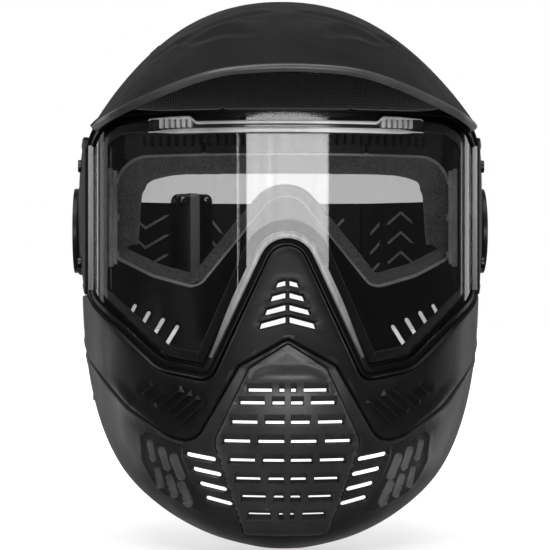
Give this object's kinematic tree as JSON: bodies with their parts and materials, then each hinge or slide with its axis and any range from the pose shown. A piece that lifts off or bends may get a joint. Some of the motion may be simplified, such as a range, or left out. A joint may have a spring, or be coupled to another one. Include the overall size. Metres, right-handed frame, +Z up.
{
  "type": "paintball mask",
  "caption": "Full-face paintball mask: clear thermal lens in a foam-sealed frame, visor, vented jaw with mouth grille, side pivots and a tilting rear head band",
  "frame": {"origin": "midway between the two side pivots, on the axis of the rear band's hinge", "axes": "the mask faces -Y; +X is to the right as seen from the front, +Z up"},
  "size_m": [0.204, 0.2679, 0.256],
  "materials": {
    "face_plastic": "satin black",
    "jaw_plastic": "satin black, fine grain",
    "grille_plastic": "satin black",
    "frame_plastic": "soft black",
    "visor_plastic": "satin black",
    "disc_plastic": "satin black",
    "bar_plastic": "dark grey gloss",
    "grid_plastic": "grey gloss",
    "band_plastic": "satin dark grey",
    "latch_plastic": "off-white",
    "lens_clear": "clear, slightly smoked",
    "gasket_foam": "closed-cell foam",
    "cushion_foam": "cloth-covered foam",
    "pad_cloth": "woven dark grey cloth",
    "dark_steel": "black oxide",
    "steel": "plain"
  },
  "bodies": {
    "mask": {"face_shell": "face_plastic", "jaw_shell": "jaw_plastic", "mouth_grille": "grille_plastic", "goggle_frame": "frame_plastic", "lens_outer": "lens_clear", "lens_gasket": "gasket_foam", "lens_inner": "lens_clear", "face_foam": "cushion_foam", "top_bar": "bar_plastic", "vent_grid_left": "grid_plastic", "vent_grid_right": "grid_plastic", "brow_shell": "visor_plastic", "brow_pad": "pad_cloth", "forehead_pad": "cushion_foam", "visor": "visor_plastic", "visor_screws": "dark_steel", "side_pod_left": "visor_plastic", "side_pod_right": "visor_plastic", "pivot_disc_left": "disc_plastic", "pivot_disc_right": "disc_plastic", "pivot_pin_left": "steel", "pivot_pin_right": "steel", "pod_screws": "dark_steel", "jaw_rivets": "disc_plastic", "latch_base_left": "frame_plastic", "latch_base_right": "frame_plastic"},
    "head_guard": {"rear_arm_left": "band_plastic", "rear_arm_right": "band_plastic", "rear_band_left": "band_plastic", "rear_band_right": "band_plastic", "band_rivets": "steel"},
    "band_slider": {"band_slider": "visor_plastic", "slider_rivets": "steel"},
    "lens_latch_left": {"lens_latch_left": "latch_plastic"},
    "lens_latch_right": {"lens_latch_right": "latch_plastic"}
  },
  "joints": [
    {"name": "rear_band_tilt", "type": "hinge", "parent": "mask", "child": "head_guard", "pos_m": [0, 0, 0], "axis": [1, 0, 0], "range_deg": [-12, 35]},
    {"name": "slider_shift", "type": "slide", "parent": "head_guard", "child": "band_slider", "axis": [0.9272, 0.3746, 0], "range_m": [-0.006, 0.006]},
    {"name": "latch_left_turn", "type": "hinge", "parent": "mask", "child": "lens_latch_left", "pos_m": [-0.079, -0.0657, 0.005], "axis": [0, 0, 1], "range_deg": [0, 25]},
    {"name": "latch_right_turn", "type": "hinge", "parent": "mask", "child": "lens_latch_right", "pos_m": [0.079, -0.0657, 0.005], "axis": [0, 0, -1], "range_deg": [0, 25]}
  ]
}
